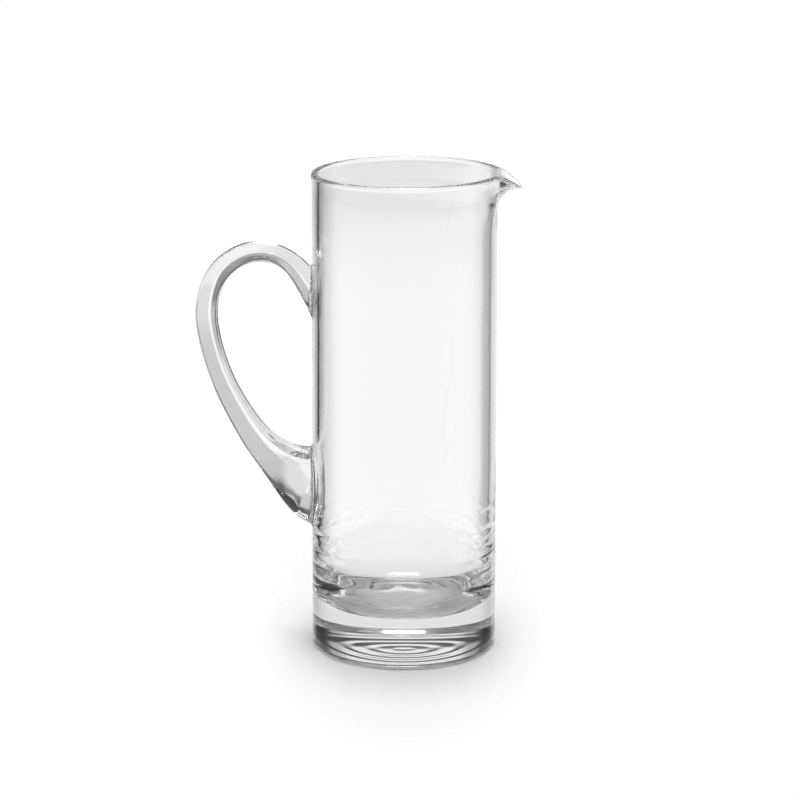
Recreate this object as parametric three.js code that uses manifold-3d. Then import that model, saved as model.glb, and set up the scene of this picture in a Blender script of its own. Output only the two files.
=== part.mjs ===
// A tall, straight-sided glass carafe: a blown body with a thick solid base and a
// pulled pouring lip, and a solid glass handle drawn onto its side while hot.
// Millimetres, +Z up. The origin is the centre of the underside. The lip points
// along +X, and the handle stands out along -X.
import * as THREE from 'three';
import { mergeVertices } from 'three/addons/utils/BufferGeometryUtils.js';
import Module from 'manifold-3d';

// Body
const HEIGHT = 260; // from the underside to the plain rim
const FOOT_DIAMETER = 100; // outside, just above the rounded lower edge
const RIM_DIAMETER = 98; // outside, before the rim opens
const WALL = 3.2; // glass thickness of the upper wall and the rim
const RIM_FLARE = 0.5; // how far the fire-polished rim opens outwards
const RIM_FLARE_HEIGHT = 12;
const BASE_THICKNESS = 24; // solid glass under the floor
const LOWER_EDGE_RADIUS = 3.5; // outside edge that meets the table
const HEEL_WALL = 4.5; // wall just above the floor, where the glass gathers
const HEEL_RISE = 50; // height over which the wall thins to its upper thickness
const FLOOR_CORNER = 16; // inside, how far the round corner reaches in over the floor
const FLOOR_CORNER_RISE = 30; // how far it reaches up the wall
const FLOOR_DISH = 0.4; // how far the floor sinks in the middle
const FLOOR_DISH_RADIUS = 24;

// Pouring lip, pulled from the rim
const LIP_PULL = 10.7; // how far the tip is drawn out
const LIP_SPREAD = 13; // half angle of the beak, degrees
const LIP_DROP = 7.6; // how far the tip is turned down
const LIP_DROP_SPREAD = 10.5; // degrees
const LIP_DEPTH = 20; // height below the rim where the pull begins
const LIP_BEND = 2.1; // how late the wall turns outwards
const RIM_DRAW = 2.2; // how far the rim on both sides follows the lip
const RIM_LIFT = 0.7; // how far it rises as it does
const RIM_DRAW_SPREAD = 75; // degrees

// Handle, a solid rod drawn over from the upper pad to the lower one
const HANDLE_REACH = 56; // from the wall to the rod's centre line at the far side
const LOWER_PAD_HEIGHT = 88; // centre of the lower pad above the table
const UPPER_PAD_DROP = 66; // centre of the upper pad below the rim
const ROD = 11; // depth of the rod round the top of the loop, seen from the side
const ROD_WIDTH_SHARE = 0.49; // width across, as a share of that depth
const RIDGE_SLOPE = 0.63; // how steeply each side falls away from its ridge
const RIDGE_SHIFT = 0.2; // how far the ridge lies towards the inside of the loop
const PAD_FLARE = 3; // how late the rod spreads into its pads
const LOWER_PAD_TALL = 43;
const LOWER_PAD_WIDE = 25;
const UPPER_PAD_TALL = 18.6;
const UPPER_PAD_WIDE = 13;
const JOINT_GAP = 0.3; // between the handle's pads and the wall

// Fineness of the facets
const TURN_STEPS = 90;
const ROD_SIDES = 28;
const ROD_STEPS_PER_STATION = 6;

// Stations along the rod, from inside the upper pad to inside the lower one. out
// and up are shares of the reach and of the height between the pads; upper and
// lower say how much the rod swells towards each pad.
const HANDLE_STATIONS = [
  { out: -0.21, up: 0.865, upper: 1, lower: 0 },
  { out: 0.18, up: 1.155, upper: 0.03, lower: 0 },
  { out: 0.555, up: 1.216, upper: 0, lower: 0 },
  { out: 0.88, up: 1.11, upper: 0, lower: 0.012 },
  { out: 1, up: 0.892, upper: 0, lower: 0.03 },
  { out: 0.875, up: 0.591, upper: 0, lower: 0.04 },
  { out: 0.596, up: 0.304, upper: 0, lower: 0.13 },
  { out: 0.312, up: 0.134, upper: 0, lower: 0.375 },
  { out: -0.057, up: 0.014, upper: 0, lower: 1.05 },
  { out: -0.368, up: -0.011, upper: 0, lower: 1 },
];

const wasm = await Module();
wasm.setup();

const footRadius = FOOT_DIAMETER / 2;
const rimRadius = RIM_DIAMETER / 2;

// Outside radius of the straight wall at a height
function wallRadius(z) {
  return THREE.MathUtils.lerp(footRadius, rimRadius, z / HEIGHT);
}

// The geometry with shared vertices joined and collapsed triangles left out
function weld(geometry) {
  geometry.deleteAttribute('normal');
  geometry.deleteAttribute('uv');
  const welded = mergeVertices(geometry, 1e-4);
  const corners = welded.index.array;
  const kept = [];
  for (let i = 0; i < corners.length; i += 3) {
    const [a, b, c] = corners.slice(i, i + 3);
    if (a !== b && b !== c && c !== a) {
      kept.push(a, b, c);
    }
  }
  welded.setIndex(kept);
  return welded;
}

// A profile of (radius, height) points turned about the Z axis
function turn(profile) {
  const geometry = new THREE.LatheGeometry(profile, TURN_STEPS);
  geometry.rotateX(Math.PI / 2);
  geometry.rotateZ(-Math.PI / 2);
  return weld(geometry);
}

function toSolid(geometry) {
  return new wasm.Manifold(new wasm.Mesh({
    numProp: 3,
    vertProperties: new Float32Array(geometry.attributes.position.array),
    triVerts: new Uint32Array(geometry.index.array),
  }));
}

function toGeometry(solid) {
  const mesh = solid.getMesh();
  const geometry = new THREE.BufferGeometry();
  geometry.setAttribute('position', new THREE.BufferAttribute(mesh.vertProperties, 3));
  geometry.setIndex(new THREE.BufferAttribute(mesh.triVerts, 1));
  return geometry;
}

// The body's section from the middle of the underside, up the outside, over the
// rim and down the inside to the middle of the floor
function bodyProfile() {
  const at = (radius, z) => new THREE.Vector2(radius, z);
  const flareFoot = HEIGHT - RIM_FLARE_HEIGHT;
  const lipFoot = HEIGHT - LIP_DEPTH;
  const rimMiddle = HEIGHT - WALL / 2;
  const rimOutside = rimRadius + RIM_FLARE;
  const heelFoot = BASE_THICKNESS + FLOOR_CORNER_RISE;
  const heelTop = heelFoot + HEEL_RISE;
  const heelRadius = wallRadius(heelFoot) - HEEL_WALL;
  const edgeCentre = footRadius - LOWER_EDGE_RADIUS;
  const cornerCentre = heelRadius - FLOOR_CORNER;
  const quarter = Math.PI / 2;

  // One side of the wall below the rim, at a depth into the glass
  const straight = (from, to, depth) => new THREE.LineCurve(
    at(wallRadius(from) - depth, from),
    at(wallRadius(to) - depth, to),
  );
  const opening = (depth) => new THREE.QuadraticBezierCurve(
    at(wallRadius(flareFoot) - depth, flareFoot),
    at(wallRadius(rimMiddle) - depth, (flareFoot + rimMiddle) / 2),
    at(rimOutside - depth, rimMiddle),
  );
  const rim = new THREE.EllipseCurve(
    rimOutside - WALL / 2, rimMiddle, WALL / 2, WALL / 2, 0, Math.PI,
  );
  const lowerEdge = new THREE.EllipseCurve(
    edgeCentre, LOWER_EDGE_RADIUS, LOWER_EDGE_RADIUS, LOWER_EDGE_RADIUS, -quarter, 0,
  );
  const heel = new THREE.CubicBezierCurve(
    at(wallRadius(heelTop) - WALL, heelTop),
    at(wallRadius(heelTop) - WALL, heelTop - HEEL_RISE / 2),
    at(heelRadius, heelFoot + HEEL_RISE / 3),
    at(heelRadius, heelFoot),
  );
  const floorCorner = new THREE.EllipseCurve(
    cornerCentre, heelFoot, FLOOR_CORNER, FLOOR_CORNER_RISE, 0, -quarter, true,
  );
  const inwards = (curve) => curve.getPoints(6).reverse();
  const dish = [1, 0.75, 0.5, 0.25, 0].map((share) => (
    at(FLOOR_DISH_RADIUS * share, BASE_THICKNESS - FLOOR_DISH * (1 - share ** 2) ** 2)
  ));
  return [
    at(0, 0),
    ...lowerEdge.getPoints(6),
    ...straight(LOWER_EDGE_RADIUS, lipFoot, 0).getPoints(3).slice(1),
    ...straight(lipFoot, flareFoot, 0).getPoints(4).slice(1),
    ...opening(0).getPoints(6).slice(1),
    ...rim.getPoints(8).slice(1),
    ...inwards(opening(WALL)).slice(1),
    ...straight(flareFoot, lipFoot, WALL).getPoints(4).slice(1),
    ...heel.getPoints(8),
    ...floorCorner.getPoints(6).slice(1),
    ...dish,
  ];
}

// A smooth bump of height 1 at angle 0, falling away over the spread in degrees
function bell(angle, spread) {
  const share = angle / THREE.MathUtils.degToRad(spread);
  return Math.exp(-share * share);
}

// Draws the top of the wall out into the lip: the beak goes out and down, and the
// rim on both sides of it follows outwards and rises a little
function pullLip(geometry) {
  const points = geometry.attributes.position;
  for (let i = 0; i < points.count; i += 1) {
    const x = points.getX(i);
    const y = points.getY(i);
    const z = points.getZ(i);
    const rise = Math.max(0, 1 - (HEIGHT - z) / LIP_DEPTH);
    if (rise > 0) {
      const pull = rise ** LIP_BEND;
      const angle = Math.atan2(y, x);
      const side = bell(angle, RIM_DRAW_SPREAD);
      const out = LIP_PULL * bell(angle, LIP_SPREAD) + RIM_DRAW * side;
      const down = LIP_DROP * bell(angle, LIP_DROP_SPREAD) - RIM_LIFT * side;
      const radius = Math.hypot(x, y);
      const grown = (radius + pull * out) / radius;
      points.setXYZ(i, x * grown, y * grown, z - pull * down);
    }
  }
}

function glassBody() {
  const geometry = turn(bodyProfile());
  pullLip(geometry);
  return geometry;
}

// The space that the wall takes up, grown by the joint's gap
function wallSpace() {
  const profile = [
    new THREE.Vector2(0, 0),
    new THREE.Vector2(wallRadius(0) + JOINT_GAP, 0),
    new THREE.Vector2(wallRadius(HEIGHT) + JOINT_GAP, HEIGHT),
    new THREE.Vector2(0, HEIGHT),
  ];
  return turn(profile);
}

// How far the rod's side stands out across the loop, as a share of its half width.
// From the loop's inner edge to its outer one, both sides rise to a soft ridge and
// fall away again. sharp goes from 1 for the plain rod to 0 for an oval.
function sideShare(angle, sharp) {
  const along = Math.cos(angle);
  const roof = 1 - RIDGE_SLOPE * Math.abs(along + RIDGE_SHIFT);
  const fullness = Math.sqrt((1 + along ** 2) * (1 + along ** 4));
  return Math.sin(angle) * THREE.MathUtils.lerp(1, roof * fullness, sharp);
}

// The rod as ridged rings set square to its centre line, closed at both ends
function rod() {
  const upperPad = HEIGHT - UPPER_PAD_DROP;
  const span = upperPad - LOWER_PAD_HEIGHT;
  const root = wallRadius((upperPad + LOWER_PAD_HEIGHT) / 2);
  const course = new THREE.CatmullRomCurve3(HANDLE_STATIONS.map(({ out, up }) => (
    new THREE.Vector3(-root - out * HANDLE_REACH, 0, LOWER_PAD_HEIGHT + up * span)
  )), false, 'catmullrom');
  const swells = new THREE.CatmullRomCurve3(HANDLE_STATIONS.map(({ upper, lower }) => (
    new THREE.Vector3(upper, lower, 0)
  )), false, 'catmullrom');
  const upperSpread = UPPER_PAD_WIDE - ROD_WIDTH_SHARE * UPPER_PAD_TALL;
  const lowerSpread = LOWER_PAD_WIDE - ROD_WIDTH_SHARE * LOWER_PAD_TALL;
  const steps = (HANDLE_STATIONS.length - 1) * ROD_STEPS_PER_STATION;
  const across = new THREE.Vector3(0, 1, 0);
  const corners = [];
  const faces = [];
  for (let i = 0; i <= steps; i += 1) {
    const centre = course.getPoint(i / steps);
    const outward = course.getTangent(i / steps).cross(across);
    const { x: upper, y: lower } = swells.getPoint(i / steps);
    const upperFlare = Math.max(upper, 0) ** PAD_FLARE;
    const lowerFlare = Math.max(lower, 0) ** PAD_FLARE;
    const tall = ROD + upper * (UPPER_PAD_TALL - ROD) + lower * (LOWER_PAD_TALL - ROD);
    const wide = ROD_WIDTH_SHARE * tall + upperFlare * upperSpread + lowerFlare * lowerSpread;
    const sharp = Math.max(1 - upperFlare - lowerFlare, 0);
    for (let j = 0; j < ROD_SIDES; j += 1) {
      const angle = (2 * Math.PI * j) / ROD_SIDES;
      const corner = centre.clone()
        .addScaledVector(outward, (tall / 2) * Math.cos(angle))
        .addScaledVector(across, (wide / 2) * sideShare(angle, sharp));
      corners.push(corner);
    }
  }
  for (let i = 0; i < steps; i += 1) {
    for (let j = 0; j < ROD_SIDES; j += 1) {
      const here = i * ROD_SIDES + j;
      const beside = i * ROD_SIDES + ((j + 1) % ROD_SIDES);
      faces.push(here, here + ROD_SIDES, beside);
      faces.push(beside, here + ROD_SIDES, beside + ROD_SIDES);
    }
  }
  const last = steps * ROD_SIDES;
  for (let j = 1; j < ROD_SIDES - 1; j += 1) {
    faces.push(0, j, j + 1);
    faces.push(last, last + j + 1, last + j);
  }
  const geometry = new THREE.BufferGeometry().setFromPoints(corners);
  geometry.setIndex(faces);
  return geometry;
}

// The handle: the rod cut to the wall, so that each pad fits its curve
function appliedHandle() {
  return toGeometry(toSolid(rod()).subtract(toSolid(wallSpace())));
}

function glass() {
  return new THREE.MeshStandardMaterial({
    color: 0xf2f5f4,
    roughness: 0.03,
    metalness: 0,
    transparent: true,
    opacity: 0.35,
  });
}

const carafe = new THREE.Group();
const pieces = { glass_body: glassBody(), applied_handle: appliedHandle() };
for (const [name, geometry] of Object.entries(pieces)) {
  const mesh = new THREE.Mesh(geometry, glass());
  mesh.name = name;
  carafe.add(mesh);
}

export default carafe;
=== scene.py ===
"""A clear glass carafe with a drawn glass handle, on a white table in soft studio light.
Lengths are in metres. The camera looks along +Y, and the lip points along +X."""
import math

import bpy
import numpy as np
from mathutils import Matrix


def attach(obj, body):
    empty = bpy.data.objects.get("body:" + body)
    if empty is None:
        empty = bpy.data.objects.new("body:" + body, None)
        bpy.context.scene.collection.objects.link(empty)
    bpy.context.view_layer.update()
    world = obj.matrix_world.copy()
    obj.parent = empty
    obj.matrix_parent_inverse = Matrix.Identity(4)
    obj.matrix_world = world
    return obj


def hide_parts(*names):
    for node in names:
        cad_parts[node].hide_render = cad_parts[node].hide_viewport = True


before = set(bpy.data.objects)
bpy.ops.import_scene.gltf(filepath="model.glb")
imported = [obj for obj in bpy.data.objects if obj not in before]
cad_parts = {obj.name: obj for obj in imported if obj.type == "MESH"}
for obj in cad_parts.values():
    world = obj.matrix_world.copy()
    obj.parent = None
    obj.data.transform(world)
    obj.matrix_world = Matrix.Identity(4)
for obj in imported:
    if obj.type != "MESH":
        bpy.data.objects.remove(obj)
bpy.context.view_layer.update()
scene = bpy.context.scene

# Camera
# A long lens stands about a metre and a half in front of the carafe, well above its
# rim, looking down on it. The carafe is a touch right of the middle.
CAMERA_DISTANCE = 1.5768
CAMERA_HEIGHT = 0.5366
CAMERA_PITCH = math.radians(14.264)
CAMERA_TURN = math.radians(0.082)
CAMERA_ROLL = math.radians(0.098)
IMAGE_SIDE = 800
FOCAL_PIXELS = 3026.6
SENSOR_WIDTH = 36.0

camera_data = bpy.data.cameras.new("camera")
camera_data.sensor_width = SENSOR_WIDTH
camera_data.lens = FOCAL_PIXELS * SENSOR_WIDTH / IMAGE_SIDE
camera = bpy.data.objects.new("camera", camera_data)
scene.collection.objects.link(camera)
camera.matrix_world = (
    Matrix.Translation((0.0, -CAMERA_DISTANCE, CAMERA_HEIGHT))
    @ Matrix.Rotation(CAMERA_TURN, 4, "Z")
    @ Matrix.Rotation(math.pi / 2 - CAMERA_PITCH, 4, "X")
    @ Matrix.Rotation(CAMERA_ROLL, 4, "Z")
)
scene.camera = camera

# Light
# A soft box hangs straight overhead and reaches back over the white sweep behind the
# carafe, which lies between two dark cards. The room higher up is dim.
BOUNCES = 128
CLEAR_BOUNCES = 32
# Brightness of the surround straight below, then round the compass at rising heights:
# degrees from straight behind the carafe, left of it negative, and the brightness there.
NEAR_TABLE = 0.85
LOW_LEVEL = [
    (-180, 0.85), (-66, 0.85), (-56, 0.45), (-50, 0.1), (-42, 0.1), (-34, 0.7), (-28, 0.78),
    (-20, 0.75), (-10, 0.82), (0, 0.95), (10, 0.92), (20, 0.87), (40, 0.82), (180, 0.85),
]
TABLE_LEVEL = [
    (-180, 0.55), (-85, 0.55), (-66, 0.4), (-58, 0.05), (-53, 0.0), (-36, 0.0), (-31, 0.5),
    (-18, 0.62), (-11, 0.95), (-6, 1.03), (0, 0.99), (6, 1.03), (10, 1.05), (14, 0.74),
    (33, 0.74), (38, 0.25), (43, 0.0), (58, 0.0), (66, 0.4), (85, 0.55), (180, 0.55),
]
HORIZON_LEVEL = [
    (-180, 0.8), (-75, 0.8), (-60, 0.15), (-32, 0.1), (-22, 0.28), (-14, 0.36), (0, 0.48),
    (14, 0.6), (22, 0.55), (32, 0.12), (58, 0.12), (72, 0.7), (180, 0.8),
]
BACKDROP_LEVEL = [
    (-180, 0.15), (-150, 0.15), (-130, 0.02), (-45, 0.02), (-25, 0.06), (-12, 0.13), (0, 0.15),
    (12, 0.13), (25, 0.06), (45, 0.02), (130, 0.02), (150, 0.15), (180, 0.15),
]
UPPER_LEVEL = [
    (-180, 0.3), (-150, 0.3), (-130, 0.02), (-50, 0.02), (-38, 0.35), (-24, 0.85),
    (24, 0.85), (38, 0.4), (50, 0.02), (130, 0.02), (150, 0.3), (180, 0.3),
]
HIGH_LEVEL = [
    (-180, 0.3), (-150, 0.3), (-130, 0.02), (-30, 0.02), (-12, 0.4),
    (12, 0.4), (30, 0.02), (130, 0.02), (150, 0.3), (180, 0.3),
]
OVERHEAD_LEVEL = [(-180, 0.1), (-90, 0.3), (-40, 1.6), (40, 1.6), (90, 0.3), (180, 0.1)]
ZENITH = 13.5
# Degrees above the horizon between which one level gives way to the next.
NEAR_TO_LOW = (-50.0, -41.0)
LOW_TO_TABLE = (-23.0, -20.0)
TABLE_TO_HORIZON = (-12.5, -7.0)
HORIZON_TO_BACKDROP = (4.0, 10.0)
BACKDROP_TO_UPPER = (17.5, 20.5)
UPPER_TO_HIGH = (25.0, 29.0)
HIGH_TO_OVERHEAD = (54.0, 68.0)
OVERHEAD_TO_ZENITH = (74.0, 79.0)

scene.view_settings.view_transform = "Standard"
scene.cycles.max_bounces = BOUNCES
scene.cycles.transmission_bounces = BOUNCES
scene.cycles.glossy_bounces = BOUNCES
scene.cycles.transparent_max_bounces = CLEAR_BOUNCES

world = bpy.data.worlds.new("studio")
world.use_nodes = True
scene.world = world
nodes, links = world.node_tree.nodes, world.node_tree.links
nodes.clear()
place = nodes.new("ShaderNodeTexCoord")
axes = nodes.new("ShaderNodeSeparateXYZ")
links.new(place.outputs["Generated"], axes.inputs[0])
compass = nodes.new("ShaderNodeMath")
compass.operation = "ARCTAN2"
links.new(axes.outputs["X"], compass.inputs[0])
links.new(axes.outputs["Y"], compass.inputs[1])
round_share = nodes.new("ShaderNodeMapRange")
round_share.inputs["From Min"].default_value = -math.pi
round_share.inputs["From Max"].default_value = math.pi
links.new(compass.outputs[0], round_share.inputs["Value"])
rise = nodes.new("ShaderNodeMath")
rise.operation = "ARCSINE"
links.new(axes.outputs["Z"], rise.inputs[0])


def compass_tones(tones):
    """A colour ramp round the compass, eased from each pair of degrees and brightness to the
    next. A share of the ramp is degrees plus 180, over 360."""
    ramp = nodes.new("ShaderNodeValToRGB")
    ramp.color_ramp.interpolation = "EASE"
    stops = ramp.color_ramp.elements
    while len(stops) < len(tones):
        stops.new(0.5)
    for stop, (degrees, tone) in zip(stops, tones):
        stop.position = (degrees + 180) / 360
        stop.color = (tone, tone, tone, 1.0)
    links.new(round_share.outputs["Result"], ramp.inputs["Fac"])
    return ramp.outputs["Color"]


def rising_mix(below, above, degrees):
    """Goes from one brightness to the other between two heights, by a smooth step. Either may be
    a plain number or a socket."""
    share = nodes.new("ShaderNodeMapRange")
    share.interpolation_type = "SMOOTHSTEP"
    share.inputs["From Min"].default_value = math.radians(degrees[0])
    share.inputs["From Max"].default_value = math.radians(degrees[1])
    links.new(rise.outputs[0], share.inputs["Value"])
    mix = nodes.new("ShaderNodeMix")
    mix.data_type = "RGBA"
    links.new(share.outputs["Result"], mix.inputs["Factor"])
    for level, socket in ((below, mix.inputs["A"]), (above, mix.inputs["B"])):
        if isinstance(level, float):
            socket.default_value = (level, level, level, 1.0)
        else:
            links.new(level, socket)
    return mix.outputs["Result"]


surround = NEAR_TABLE
for tones, degrees in (
    (LOW_LEVEL, NEAR_TO_LOW), (TABLE_LEVEL, LOW_TO_TABLE), (HORIZON_LEVEL, TABLE_TO_HORIZON),
    (BACKDROP_LEVEL, HORIZON_TO_BACKDROP), (UPPER_LEVEL, BACKDROP_TO_UPPER),
    (HIGH_LEVEL, UPPER_TO_HIGH), (OVERHEAD_LEVEL, HIGH_TO_OVERHEAD),
):
    surround = rising_mix(surround, compass_tones(tones), degrees)
surround = rising_mix(surround, ZENITH, OVERHEAD_TO_ZENITH)
# The camera itself sees plain white. Reflected and refracted rays see the surround, which
# gives clear glass its edges.
path = nodes.new("ShaderNodeLightPath")
seen = nodes.new("ShaderNodeMix")
seen.data_type = "RGBA"
links.new(path.outputs["Is Camera Ray"], seen.inputs["Factor"])
links.new(surround, seen.inputs["A"])
seen.inputs["B"].default_value = (1.0, 1.0, 1.0, 1.0)
sky = nodes.new("ShaderNodeBackground")
links.new(seen.outputs["Result"], sky.inputs["Color"])
out = nodes.new("ShaderNodeOutputWorld")
links.new(sky.outputs[0], out.inputs["Surface"])

# Table
# A matt white table top that fades into the white sweep. It lies a hair below the
# carafe's foot, as a real table touches glass in a few points only.
TABLE_SIDE = 8.0
TABLE_GAP = 0.0003
TABLE_WHITE = 0.97
# Half sizes of the oval in which the table shows, how far its middle lies behind the
# carafe, and the shares of the way out between which it fades.
TABLE_PATCH = (0.085, 0.24)
TABLE_PATCH_BEHIND = 0.05
TABLE_FADE = (0.5, 1.0)

half = TABLE_SIDE / 2
table_corners = [(x * half, y * half, -TABLE_GAP) for x, y in ((-1, -1), (1, -1), (1, 1), (-1, 1))]
table_mesh = bpy.data.meshes.new("table")
table_mesh.from_pydata(table_corners, [], [(0, 1, 2, 3)])
table = bpy.data.objects.new("table", table_mesh)
scene.collection.objects.link(table)
matt = bpy.data.materials.new("table_white")
matt.use_nodes = True
tree = matt.node_tree
shader = tree.nodes["Principled BSDF"]
shader.inputs["Base Color"].default_value = (TABLE_WHITE, TABLE_WHITE, TABLE_WHITE, 1.0)
shader.inputs["Roughness"].default_value = 1.0
shader.inputs["Specular IOR Level"].default_value = 0.0
spot = tree.nodes.new("ShaderNodeTexCoord")
patch = tree.nodes.new("ShaderNodeMapping")
patch.vector_type = "TEXTURE"
patch.inputs["Location"].default_value = (0.0, TABLE_PATCH_BEHIND, 0.0)
patch.inputs["Scale"].default_value = (TABLE_PATCH[0], TABLE_PATCH[1], 1.0)
tree.links.new(spot.outputs["Object"], patch.inputs["Vector"])
distance = tree.nodes.new("ShaderNodeVectorMath")
distance.operation = "LENGTH"
tree.links.new(patch.outputs[0], distance.inputs[0])
fade = tree.nodes.new("ShaderNodeMapRange")
fade.interpolation_type = "SMOOTHSTEP"
fade.inputs["From Min"].default_value = TABLE_FADE[0]
fade.inputs["From Max"].default_value = TABLE_FADE[1]
fade.inputs["To Min"].default_value = 1.0
fade.inputs["To Max"].default_value = 0.0
tree.links.new(distance.outputs["Value"], fade.inputs["Value"])
tree.links.new(fade.outputs["Result"], shader.inputs["Alpha"])
table_mesh.materials.append(matt)

# Body
# Blown clear glass in one gather: a straight wall on a thick solid base, with a
# fire-polished rim whose right side is pulled out and down into a pouring lip.
HEIGHT = 0.260
FOOT_RADIUS = 0.050
RIM_RADIUS = 0.049
WALL = 0.0037
RIM_FLARE = 0.0005
RIM_FLARE_HEIGHT = 0.012
BASE_THICKNESS = 0.024
LOWER_EDGE = 0.0035
HEEL_WALL = 0.0045
HEEL_RISE = 0.050
FLOOR_CORNER = 0.016
FLOOR_CORNER_RISE = 0.030
KICK_HEIGHT = 0.0005
KICK_RADIUS = 0.044
RING_HEIGHT = 0.00012
RING_SPACING = 0.0093
FLOOR_DISH = 0.0004
FLOOR_DISH_RADIUS = 0.024
RIPPLE = 0.00018
RIPPLE_LENGTHS = (0.0085, 0.0051)
RIPPLE_SECOND = 0.6
# Height minus radius where the ripples begin on the floor, are strongest, and end up the wall.
RIPPLE_REACH = (-0.011, 0.0, 0.055)
LIP_PULL = 0.0118
LIP_SPREAD = math.radians(13.0)
LIP_DROP = 0.0088
LIP_DROP_SPREAD = math.radians(10.5)
LIP_DEPTH = 0.020
LIP_BEND = 2.1
RIM_DRAW = 0.0022
RIM_LIFT = 0.0007
RIM_DRAW_SPREAD = math.radians(75.0)
GLASS_TINTS = ((0.995, 0.998, 0.996, 1.0), (0.998, 0.999, 0.999, 1.0))
GLASS_IOR = 1.5
CORD_SCALE = 70.0
CORD_DETAIL = 2.0
CORD_STRETCH = 0.2
CORD_HEIGHT = 0.0001
CORD_STRENGTH = 0.3
# How finely each stretch of the profile is divided, from under the base to the floor.
TURN_STEPS = 180
UNDER_ROWS = 60
EDGE_STEPS = 14
WALL_STEP = 0.0025
OPENING_STEPS = 10
RIM_STEPS = 20
INSIDE_SPLIT = 0.125
INSIDE_UPPER_ROWS = 12
INSIDE_LOWER_ROWS = 40
HEEL_STEPS = 120
CORNER_STEPS = 40
FLOOR_ROWS = 24
TINY = 1e-9


def wall_radius(z):
    """Outside radius of the wall: a straight line from the foot's radius to the rim's."""
    return FOOT_RADIUS + (RIM_RADIUS - FOOT_RADIUS) * z / HEIGHT


def arc(centre_r, centre_z, radius, start, end, steps):
    """Points on a circle in the (radius, height) plane from angle start to end."""
    angle = np.linspace(start, end, steps + 1)
    return np.column_stack([centre_r + radius * np.cos(angle), centre_z + radius * np.sin(angle)])


def smooth_curve(corners, steps):
    """Points from the first corner to the last, drawn towards those between: at a share t of the
    way, corner k of 0 to n weighs n over k times t to the k times (1 - t) to the n - k."""
    t = np.linspace(0.0, 1.0, steps + 1)[:, None]
    degree = len(corners) - 1
    weights = [math.comb(degree, k) * t**k * (1 - t) ** (degree - k) for k in range(degree + 1)]
    return sum(w * np.array(c) for w, c in zip(weights, corners))


def body_profile():
    """The body's section as (radius, height) rows: under the base, round the lower edge, up the
    outside, over the rim and down the inside to the floor. The second value is the last row of
    the straight outside wall."""
    flare_foot = HEIGHT - RIM_FLARE_HEIGHT
    rim_middle = HEIGHT - WALL / 2
    rim_outside = RIM_RADIUS + RIM_FLARE
    heel_foot = BASE_THICKNESS + FLOOR_CORNER_RISE
    heel_top = heel_foot + HEEL_RISE
    heel_radius = wall_radius(heel_foot) - HEEL_WALL
    corner_centre = heel_radius - FLOOR_CORNER

    def opening(depth):
        """The flare below the rim, this deep in the glass, curving out from the wall."""
        return smooth_curve([
            (wall_radius(flare_foot) - depth, flare_foot),
            (wall_radius(rim_middle) - depth, (flare_foot + rim_middle) / 2),
            (rim_outside - depth, rim_middle),
        ], OPENING_STEPS)

    under_r = np.linspace(0.0, FOOT_RADIUS - LOWER_EDGE, UNDER_ROWS)
    bowl = np.clip(1.0 - (under_r / KICK_RADIUS) ** 2, 0.0, None)
    rings = RING_HEIGHT * np.sin(math.pi * under_r / RING_SPACING) ** 2
    under = np.column_stack([under_r, KICK_HEIGHT * bowl**2 + rings])
    edge = arc(FOOT_RADIUS - LOWER_EDGE, LOWER_EDGE, LOWER_EDGE, -math.pi / 2, 0.0, EDGE_STEPS)
    rows = round((flare_foot - LOWER_EDGE) / WALL_STEP)
    wall_z = np.linspace(LOWER_EDGE, flare_foot, rows + 1)
    outside = np.column_stack([wall_radius(wall_z), wall_z])
    rim = arc(rim_outside - WALL / 2, rim_middle, WALL / 2, 0.0, math.pi, RIM_STEPS)
    inner_z = np.concatenate([
        np.linspace(flare_foot, INSIDE_SPLIT, INSIDE_UPPER_ROWS)[:-1],
        np.linspace(INSIDE_SPLIT, heel_top, INSIDE_LOWER_ROWS),
    ])
    inside = np.column_stack([wall_radius(inner_z) - WALL, inner_z])
    heel = smooth_curve([
        (wall_radius(heel_top) - WALL, heel_top),
        (wall_radius(heel_top) - WALL, heel_top - HEEL_RISE / 2),
        (heel_radius, heel_foot + HEEL_RISE / 3),
        (heel_radius, heel_foot),
    ], HEEL_STEPS)
    quarter = arc(0.0, 0.0, 1.0, 0.0, -math.pi / 2, CORNER_STEPS)
    corner = [corner_centre, heel_foot] + quarter * [FLOOR_CORNER, FLOOR_CORNER_RISE]
    floor_r = np.linspace(corner_centre, 0.0, FLOOR_ROWS)
    dish = np.clip(1.0 - (floor_r / FLOOR_DISH_RADIUS) ** 2, 0.0, None) ** 2
    floor = np.column_stack([floor_r, BASE_THICKNESS - FLOOR_DISH * dish])
    after_under = [
        edge, outside, opening(0.0), rim, opening(WALL)[::-1], inside, heel, corner, floor,
    ]
    wall_last = len(under) + len(edge) - 2 + rows
    return np.vstack([under] + [stretch[1:] for stretch in after_under]), wall_last


def bell(angle, spread):
    """A smooth bump: e to the minus square of angle over spread."""
    return np.exp(-((angle / spread) ** 2))


def pull_lip(points):
    """Moves points near the rim out and down round the +X direction. The pull grows from 0 at the
    lip's depth to 1 at the rim as a power of the height. Round the axis it is a narrow bump for
    the beak and a wide one for the rim that follows it."""
    x, y, z = np.moveaxis(points, -1, 0)
    pull = np.clip(1.0 - (HEIGHT - z) / LIP_DEPTH, 0.0, None) ** LIP_BEND
    angle = np.arctan2(y, x)
    side = bell(angle, RIM_DRAW_SPREAD)
    out_by = pull * (LIP_PULL * bell(angle, LIP_SPREAD) + RIM_DRAW * side)
    down_by = pull * (LIP_DROP * bell(angle, LIP_DROP_SPREAD) - RIM_LIFT * side)
    radius = np.maximum(np.hypot(x, y), TINY)
    grown = (radius + out_by) / radius
    return np.stack([x * grown, y * grown, z - down_by], -1)


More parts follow.
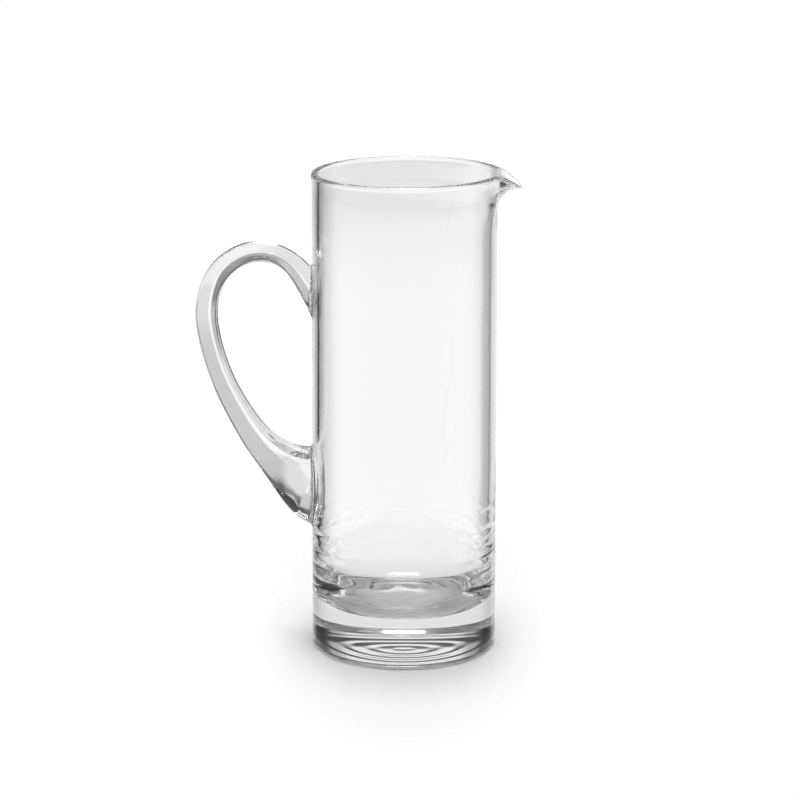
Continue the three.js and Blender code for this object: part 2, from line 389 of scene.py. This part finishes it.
def ripple_inside(profile, angle):
    """Rows of the profile at each angle round the axis, moved along the profile's own normal by up
    to about 0.3 mm: two sine waves of height minus radius, a little tilted. They are strongest
    where the wall meets the floor and fade towards the floor's middle and up the wall, where only
    the left and right sides keep them."""
    slope = np.gradient(profile, axis=0)
    slope /= np.linalg.norm(slope, axis=1, keepdims=True)
    radius, z = profile[:, :1], profile[:, 1:]
    inside = (radius < wall_radius(z) - WALL / 2) & (z > BASE_THICKNESS / 2)
    along = z - radius
    fade = inside * np.interp(along, RIPPLE_REACH, [0.0, 1.0, 0.0]) ** 2
    turns = 2 * math.pi * along
    first = np.sin(turns / RIPPLE_LENGTHS[0] + angle)
    second = RIPPLE_SECOND * np.sin(turns / RIPPLE_LENGTHS[1] - 2 * angle)
    up_wall = np.clip((z - BASE_THICKNESS) / FLOOR_CORNER_RISE, 0.0, 1.0)
    sides = 1.0 - up_wall * np.sin(angle) ** 2
    step = RIPPLE * fade * sides * (first + second)
    return radius - slope[:, 1:] * step, z + slope[:, :1] * step


def on_wall(angle, z, gap=0.0):
    """Points at an angle round the axis and a height, this far off the outside wall."""
    radius = wall_radius(z) + gap
    return np.stack([radius * np.cos(angle), radius * np.sin(angle), z], -1)


# The handle's rod is needed here first, because the wall is joined to it along the
# edges of two seats.
HANDLE_REACH = 0.056
LOWER_PAD_HEIGHT = 0.088
UPPER_PAD_HEIGHT = 0.194
ROD = 0.011
ROD_WIDTH_SHARE = 0.68
UPPER_PAD_TALL, UPPER_PAD_WIDE = 0.0186, 0.013
LOWER_PAD_TALL, LOWER_PAD_WIDE = 0.043, 0.025
# Along the centre line: out in shares of the reach, up in shares of the way from the lower
# pad to the upper, swell to the upper pad, and swell to the lower.
STATIONS = np.array([
    [-0.21, 0.865, 1.0, 0.0],
    [0.18, 1.155, 0.03, 0.0],
    [0.555, 1.216, 0.0, 0.0],
    [0.88, 1.11, 0.0, 0.012],
    [1.0, 0.892, 0.0, 0.03],
    [0.875, 0.591, 0.0, 0.04],
    [0.596, 0.304, 0.0, 0.13],
    [0.312, 0.134, 0.0, 0.375],
    [-0.057, 0.014, 0.0, 1.05],
    [-0.368, -0.011, 0.0, 1.0],
])
PAD_FLARE = 3
RIDGE_SHIFT = 0.24
# How steeply the faces fall away from the ridge in front and from the one behind.
RIDGE_SLOPE = (0.22, 0.78)
RIDGE_ROUNDING = 0.008
SEAT_FILLET = 0.002
SEAT_GAP = 0.00003
SEAT_RINGS = 8
# Each seat lies in a window of the wall's grid, this many cells to either side.
WINDOW_COLUMNS = 20
WINDOW_ROWS = 14
WINDOW_RINGS = 12
ROD_STEPS = 260
TRIAL_STEPS = 4001


def spline(stations, share, slope=False):
    """The smooth cubic through the stations, or its slope, at shares 0 to 1 of the way along them:
    each span is set by its own two stations and the one on either side."""
    ends = np.vstack([2 * stations[0] - stations[1], stations, 2 * stations[-1] - stations[-2]])
    place = share * (len(stations) - 1)
    first = np.clip(place.astype(int), 0, len(stations) - 2)
    t = (place - first)[..., None]
    a, b, c, d = (ends[first + k] for k in range(4))
    square, cube = 2 * a - 5 * b + 4 * c - d, 3 * b - a - 3 * c + d
    if slope:
        return 0.5 * (c - a + 2 * square * t + 3 * cube * t**2)
    return 0.5 * (2 * b + (c - a) * t + square * t**2 + cube * t**3)


def rod_points(share, around):
    """The rod's surface, in sections set square to the centre line. Half a section's width is a
    roof that falls away from a soft ridge, a little nearer the loop's inside and flatter in front
    than behind, times the root of 1 less the sixteenth power of the way across, which rounds off
    the two edges. In the pads the sections become ovals. around is the angle from the loop's
    outer side towards +Y."""
    root = wall_radius((UPPER_PAD_HEIGHT + LOWER_PAD_HEIGHT) / 2)
    course = np.column_stack([
        -root - STATIONS[:, 0] * HANDLE_REACH,
        LOWER_PAD_HEIGHT + STATIONS[:, 1] * (UPPER_PAD_HEIGHT - LOWER_PAD_HEIGHT),
    ])
    centre = spline(course, share)
    along = spline(course, share, slope=True)
    along /= np.linalg.norm(along, axis=-1, keepdims=True)
    upper, lower = np.moveaxis(spline(STATIONS[:, 2:], share), -1, 0)
    upper_flare = np.maximum(upper, 0.0) ** PAD_FLARE
    lower_flare = np.maximum(lower, 0.0) ** PAD_FLARE
    tall = ROD + upper * (UPPER_PAD_TALL - ROD) + lower * (LOWER_PAD_TALL - ROD)
    wide = (ROD_WIDTH_SHARE * tall
            + upper_flare * (UPPER_PAD_WIDE - ROD_WIDTH_SHARE * UPPER_PAD_TALL)
            + lower_flare * (LOWER_PAD_WIDE - ROD_WIDTH_SHARE * LOWER_PAD_TALL))
    sharp = np.maximum(1.0 - upper_flare - lower_flare, 0.0)
    across = np.cos(around)
    steep = np.where(np.sin(around) < 0.0, *RIDGE_SLOPE)
    roof = 1.0 - steep * np.hypot(across + RIDGE_SHIFT, RIDGE_ROUNDING)
    squared_off = np.sqrt((1.0 + across**2) * (1.0 + across**4) * (1.0 + across**8))
    fullness = 1.0 + sharp * (roof * squared_off - 1.0)
    step = tall / 2 * across
    return np.stack([
        centre[..., 0] + along[..., 1] * step,
        wide / 2 * fullness * np.sin(around),
        centre[..., 1] - along[..., 0] * step,
    ], -1)


def off_wall(points):
    """How far points stand off the seats: distance from the axis, less the wall's radius there
    and the seats' gap."""
    return np.hypot(points[..., 0], points[..., 1]) - wall_radius(points[..., 2]) - SEAT_GAP


def window_ring():
    """Column and row offsets round a window of the wall, from the middle of its top towards +Y."""
    c, r = WINDOW_COLUMNS, WINDOW_ROWS
    top_right = [(i, r) for i in range(c)]
    right = [(c, j) for j in range(r, -r, -1)]
    bottom = [(i, -r) for i in range(c, -c, -1)]
    left = [(-c, j) for j in range(-r, r)]
    top_left = [(i, r) for i in range(-c, 0)]
    return np.array(top_right + right + bottom + left + top_left)


def rod_side():
    """The rod from wall to wall, as rows of points along it. Each line along the rod starts and
    ends where it meets the wall, and close to the wall it bends away from the seat's middle in a
    small round fillet."""
    offsets = window_ring()
    around = np.arctan2(offsets[:, 0] / WINDOW_COLUMNS, offsets[:, 1] / WINDOW_ROWS)
    fine = np.linspace(0.0, 1.0, TRIAL_STEPS)
    outside = off_wall(rod_points(fine[:, None], around[None, :])) > 0
    start = fine[outside.argmax(0)]
    end = fine[len(fine) - 1 - outside[::-1].argmax(0)]
    ease = 0.5 - 0.5 * np.cos(np.linspace(0.0, math.pi, ROD_STEPS))
    spread = 0.5 * (ease + np.linspace(0.0, 1.0, ROD_STEPS))
    share = start + (end - start) * spread[:, None]
    points = rod_points(share, around[None, :])
    angle = np.arctan2(points[..., 1], points[..., 0]) % (2 * math.pi) - math.pi
    z = points[..., 2]
    lift = np.maximum(off_wall(points), 0.0)
    lift[[0, -1]] = 0.0
    near = np.clip(lift / SEAT_FILLET, 0.0, 1.0)
    flare = SEAT_FILLET * (1.0 - np.sqrt(1.0 - (1.0 - near) ** 2))
    upper = np.arange(ROD_STEPS)[:, None] < ROD_STEPS / 2
    middle = np.where(upper, z[0].mean(), z[-1].mean())
    sideways, upwards = wall_radius(z) * angle, z - middle
    away = np.maximum(np.hypot(sideways, upwards), TINY)
    angle = angle + flare * sideways / away / wall_radius(z)
    z = z + flare * upwards / away
    return on_wall(angle + math.pi, z, SEAT_GAP + lift)


def strip(ring_a, ring_b, flip=False):
    """Four-cornered faces between two closed rings of point numbers."""
    quads = np.column_stack([ring_a, np.roll(ring_a, -1), np.roll(ring_b, -1), ring_b])
    return quads[:, ::-1] if flip else quads


def fan(ring, middle, flip=False):
    """Three-cornered faces from a closed ring of point numbers to one point."""
    tris = np.column_stack([ring, np.roll(ring, -1), np.full(len(ring), middle)])
    return tris[:, ::-1] if flip else tris


def join_rings(ring, rows, count, flip):
    """Faces from a ring of point numbers to rows of new points, numbered from count on. Returns
    the faces, the last row's ring and the next free number."""
    fresh = count + np.arange(rows.shape[0] * rows.shape[1]).reshape(rows.shape[:2])
    rings = [ring, *fresh]
    return [strip(a, b, flip) for a, b in zip(rings, rings[1:])], rings[-1], count + fresh.size


def seat_patch(edge, ring, count, gap, flip):
    """A seat inside its edge: rings on the wall that go from the edge to its middle in equal
    shares of the angle and the height, closed by a fan. ring holds the edge's point numbers.
    Returns the new points, their faces and the next free number."""
    angle = np.arctan2(edge[:, 1], edge[:, 0]) % (2 * math.pi)
    z, middle = edge[:, 2], edge[:, 2].mean()
    share = np.linspace(0.0, 1.0, SEAT_RINGS + 1)[1:-1, None]
    rows = on_wall(angle + (math.pi - angle) * share, z + (middle - z) * share, gap)
    faces, ring, count = join_rings(ring, rows, count, flip)
    faces.append(fan(ring, count, flip))
    return np.vstack([rows.reshape(-1, 3), on_wall(math.pi, middle, gap)]), faces, count + 1


def glass_piece(name, points, faces, seat_faces, materials):
    """A mesh object from points and lists of face arrays; seat faces take the second material."""
    everything = faces + seat_faces
    used, numbers = np.unique(np.concatenate([f.ravel() for f in everything]), return_inverse=True)
    corners = np.concatenate([np.full(len(f), f.shape[1]) for f in everything])
    starts = np.concatenate([[0], np.cumsum(corners)[:-1]])
    seat = np.repeat([0, 1], [sum(map(len, faces)), sum(map(len, seat_faces))])
    mesh = bpy.data.meshes.new(name)
    mesh.vertices.add(len(used))
    mesh.vertices.foreach_set("co", points[used].astype(np.float32).ravel())
    mesh.loops.add(len(numbers))
    mesh.loops.foreach_set("vertex_index", numbers.astype(np.int32))
    mesh.polygons.add(len(corners))
    mesh.polygons.foreach_set("loop_start", starts.astype(np.int32))
    for material in materials:
        mesh.materials.append(material)
    mesh.polygons.foreach_set("material_index", seat.astype(np.int32))
    mesh.polygons.foreach_set("use_smooth", np.ones(len(corners), bool))
    mesh.update(calc_edges=True)
    mesh.validate()
    piece = bpy.data.objects.new(name, mesh)
    scene.collection.objects.link(piece)
    return piece


def body_mesh(rod):
    """The turned profile with the lip pulled, closed at both poles. Round each seat a window of
    the wall's grid is left out and filled with rings that go from the window's edge to the seat's
    edge, so that the wall and the handle meet along one line."""
    profile, wall_last = body_profile()
    rows = profile[1:-1]
    angle = np.linspace(0.0, 2 * math.pi, TURN_STEPS, endpoint=False)
    radius, z = ripple_inside(rows, angle)
    x, y = radius * np.cos(angle), radius * np.sin(angle)
    grid = pull_lip(np.stack(np.broadcast_arrays(x, y, z), -1))
    poles = np.array([[0.0, 0.0, profile[0, 1]], [0.0, 0.0, profile[-1, 1]]])
    points = [grid.reshape(-1, 3), poles]
    number = np.arange(len(rows) * TURN_STEPS).reshape(len(rows), TURN_STEPS)
    under, floor = number.size, number.size + 1
    count = number.size + len(poles)
    cells = np.ones((len(rows) - 1, TURN_STEPS), bool)
    faces, seat_faces = [], []
    offsets = window_ring()
    column = TURN_STEPS // 2
    window_columns = slice(column - WINDOW_COLUMNS, column + WINDOW_COLUMNS)
    for edge, sign in ((rod[0], 1), (rod[-1], -1)):
        middle = np.abs(rows[:wall_last, 1] - edge[:, 2].mean()).argmin()
        cells[middle - WINDOW_ROWS:middle + WINDOW_ROWS, window_columns] = False
        at_row, at_column = middle + sign * offsets[:, 1], column - offsets[:, 0]
        ring_angle, ring_z = angle[at_column], rows[at_row, 1]
        edge_angle = np.arctan2(edge[:, 1], edge[:, 0]) % (2 * math.pi)
        share = (np.arange(1, WINDOW_RINGS + 1) / WINDOW_RINGS)[:, None]
        between = on_wall(
            ring_angle + (edge_angle - ring_angle) * share, ring_z + (edge[:, 2] - ring_z) * share
        )
        joined, ring, count = join_rings(number[at_row, at_column], between, count, sign < 0)
        seat, seat_joined, count = seat_patch(edge, ring, count, 0.0, sign < 0)
        points += [between.reshape(-1, 3), seat]
        faces += joined
        seat_faces += seat_joined
    onward = np.roll(number, -1, 1)
    quads = np.stack([number[:-1], onward[:-1], onward[1:], number[1:]], -1)[cells]
    faces = [quads, fan(number[0], under, flip=True), fan(number[-1], floor)] + faces
    return np.vstack(points), faces, seat_faces


def clear_glass(name):
    """Colourless glass with faint cords: noise drawn out along the height gives a breath of tint
    and long soft waves."""
    material = bpy.data.materials.new(name)
    material.use_nodes = True
    tree = material.node_tree
    shader = tree.nodes["Principled BSDF"]
    spot = tree.nodes.new("ShaderNodeTexCoord")
    drawn_out = tree.nodes.new("ShaderNodeMapping")
    drawn_out.inputs["Scale"].default_value = (1.0, 1.0, CORD_STRETCH)
    tree.links.new(spot.outputs["Object"], drawn_out.inputs["Vector"])
    cords = tree.nodes.new("ShaderNodeTexNoise")
    cords.inputs["Scale"].default_value = CORD_SCALE
    cords.inputs["Detail"].default_value = CORD_DETAIL
    tree.links.new(drawn_out.outputs[0], cords.inputs["Vector"])
    tint = tree.nodes.new("ShaderNodeValToRGB")
    for stop, colour in zip(tint.color_ramp.elements, GLASS_TINTS):
        stop.color = colour
    tree.links.new(cords.outputs["Fac"], tint.inputs["Fac"])
    tree.links.new(tint.outputs["Color"], shader.inputs["Base Color"])
    waves = tree.nodes.new("ShaderNodeBump")
    waves.inputs["Strength"].default_value = CORD_STRENGTH
    waves.inputs["Distance"].default_value = CORD_HEIGHT
    tree.links.new(cords.outputs["Fac"], waves.inputs["Height"])
    tree.links.new(waves.outputs["Normal"], shader.inputs["Normal"])
    shader.inputs["Roughness"].default_value = 0.0
    shader.inputs["IOR"].default_value = GLASS_IOR
    shader.inputs["Transmission Weight"].default_value = 1.0
    return material


def fused_seat():
    """Where two pieces of glass are fused, light goes straight on."""
    material = bpy.data.materials.new("fused_seat")
    material.use_nodes = True
    tree = material.node_tree
    tree.nodes.clear()
    through = tree.nodes.new("ShaderNodeBsdfTransparent")
    out = tree.nodes.new("ShaderNodeOutputMaterial")
    tree.links.new(through.outputs[0], out.inputs["Surface"])
    return material


rod = rod_side()
seat_glass = fused_seat()
body = glass_piece("carafe_body", *body_mesh(rod), [clear_glass("body_glass"), seat_glass])
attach(body, "root")
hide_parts("glass_body")

# Handle
# A second, solid gather of clear glass, stuck to the wall hot, drawn over in a loop
# and fused on again below, where it has spread into a broad pad.
HANDLE_CREASE = math.radians(60.0)


def handle_mesh(rod):
    """The rod's side as a grid of rows, closed at both ends by rings laid on the wall."""
    number = np.arange(rod.shape[0] * rod.shape[1]).reshape(rod.shape[:2])
    points, count = [rod.reshape(-1, 3)], number.size
    faces = [strip(a, b) for a, b in zip(number[:-1], number[1:])]
    seat_faces = []
    for edge, ring, flip in ((rod[0], number[0], True), (rod[-1], number[-1], False)):
        seat, seat_joined, count = seat_patch(edge, ring, count, SEAT_GAP, flip)
        points.append(seat)
        seat_faces += seat_joined
    return np.vstack(points), faces, seat_faces


handle = glass_piece("carafe_handle", *handle_mesh(rod), [clear_glass("handle_glass"), seat_glass])
handle.data.set_sharp_from_angle(angle=HANDLE_CREASE)
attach(handle, "root")
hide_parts("applied_handle")
